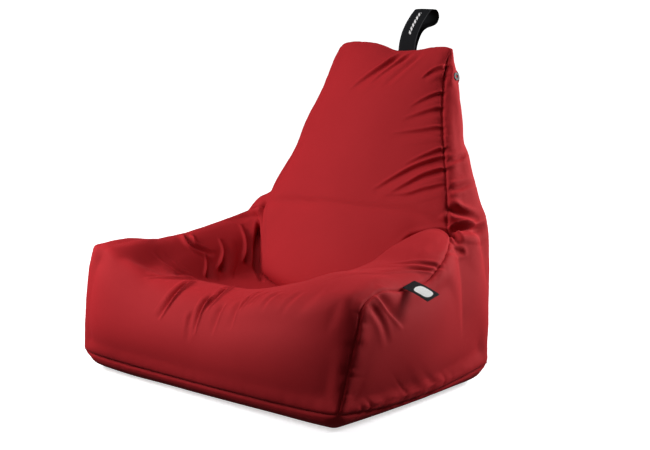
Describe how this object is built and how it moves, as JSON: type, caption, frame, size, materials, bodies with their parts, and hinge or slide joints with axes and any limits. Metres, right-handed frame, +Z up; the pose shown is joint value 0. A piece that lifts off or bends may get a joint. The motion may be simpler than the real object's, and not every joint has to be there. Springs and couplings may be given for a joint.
{
  "type": "bean bag chair",
  "caption": "High-back bean bag chair with a hollowed seat, arms, a sewn cover over a bead-filled liner, a carry handle and a rear zip.",
  "frame": {"origin": "centre of the flat patch on which the filled bag rests, at floor level", "axes": "+Z up, +Y towards the rear of the chair, +X towards the sitter's left"},
  "size_m": [1.0114, 0.9387, 0.9897],
  "materials": {
    "cover_fabric": "matt coated polyester",
    "base_fabric": "matt coated polyester, heavier",
    "liner_fabric": "thin non-woven",
    "bead_fill": "expanded polystyrene beads",
    "black_webbing": "woven webbing",
    "label_fabric": "satin woven",
    "label_print": "white weave",
    "eyelet_metal": "black lacquer",
    "vent_mesh": "fine mesh",
    "zip_tape": "woven tape",
    "zip_coil": "nylon coil",
    "zip_metal": "dark nickel",
    "hook_and_loop": "hook and loop strip"
  },
  "bodies": {
    "bag": {"front_seat_panel": "cover_fabric", "backrest_panel": "cover_fabric", "side_panel_left": "cover_fabric", "side_panel_right": "cover_fabric", "back_panel": "cover_fabric", "base_panel": "base_fabric", "inner_liner": "liner_fabric", "bead_filling": "bead_fill", "handle_anchor_patch": "black_webbing", "vent_eyelet_left": "eyelet_metal", "vent_eyelet_right": "eyelet_metal", "vent_washer_left": "eyelet_metal", "vent_washer_right": "eyelet_metal", "vent_mesh_left": "vent_mesh", "vent_mesh_right": "vent_mesh", "zip_tape_upper": "zip_tape", "zip_tape_lower": "zip_tape", "zip_coil_upper": "zip_coil", "zip_coil_lower": "zip_coil", "zip_stops": "zip_metal", "zip_guard": "cover_fabric", "liner_hook_strip": "hook_and_loop", "liner_loop_strip": "hook_and_loop"},
    "handle": {"carry_handle": "black_webbing"},
    "label": {"side_label": "label_fabric", "label_patch": "label_print"},
    "slider": {"zip_slider": "zip_metal"}
  },
  "joints": [
    {"name": "handle_flex", "type": "hinge", "parent": "bag", "child": "handle", "pos_m": [0.028, 0.5221, 0.8879], "axis": [1, 0, 0], "range_deg": [-45, 120], "stiffness_Nm_per_rad": 0.3},
    {"name": "label_flex", "type": "hinge", "parent": "bag", "child": "label", "pos_m": [0.45473, -0.02, 0.32716], "axis": [0, 0.9806, 0.1961], "range_deg": [-70, 65], "stiffness_Nm_per_rad": 0.05},
    {"name": "zip_travel", "type": "slide", "parent": "bag", "child": "slider", "axis": [-1, 0, 0], "range_m": [0, 0.546]}
  ]
}
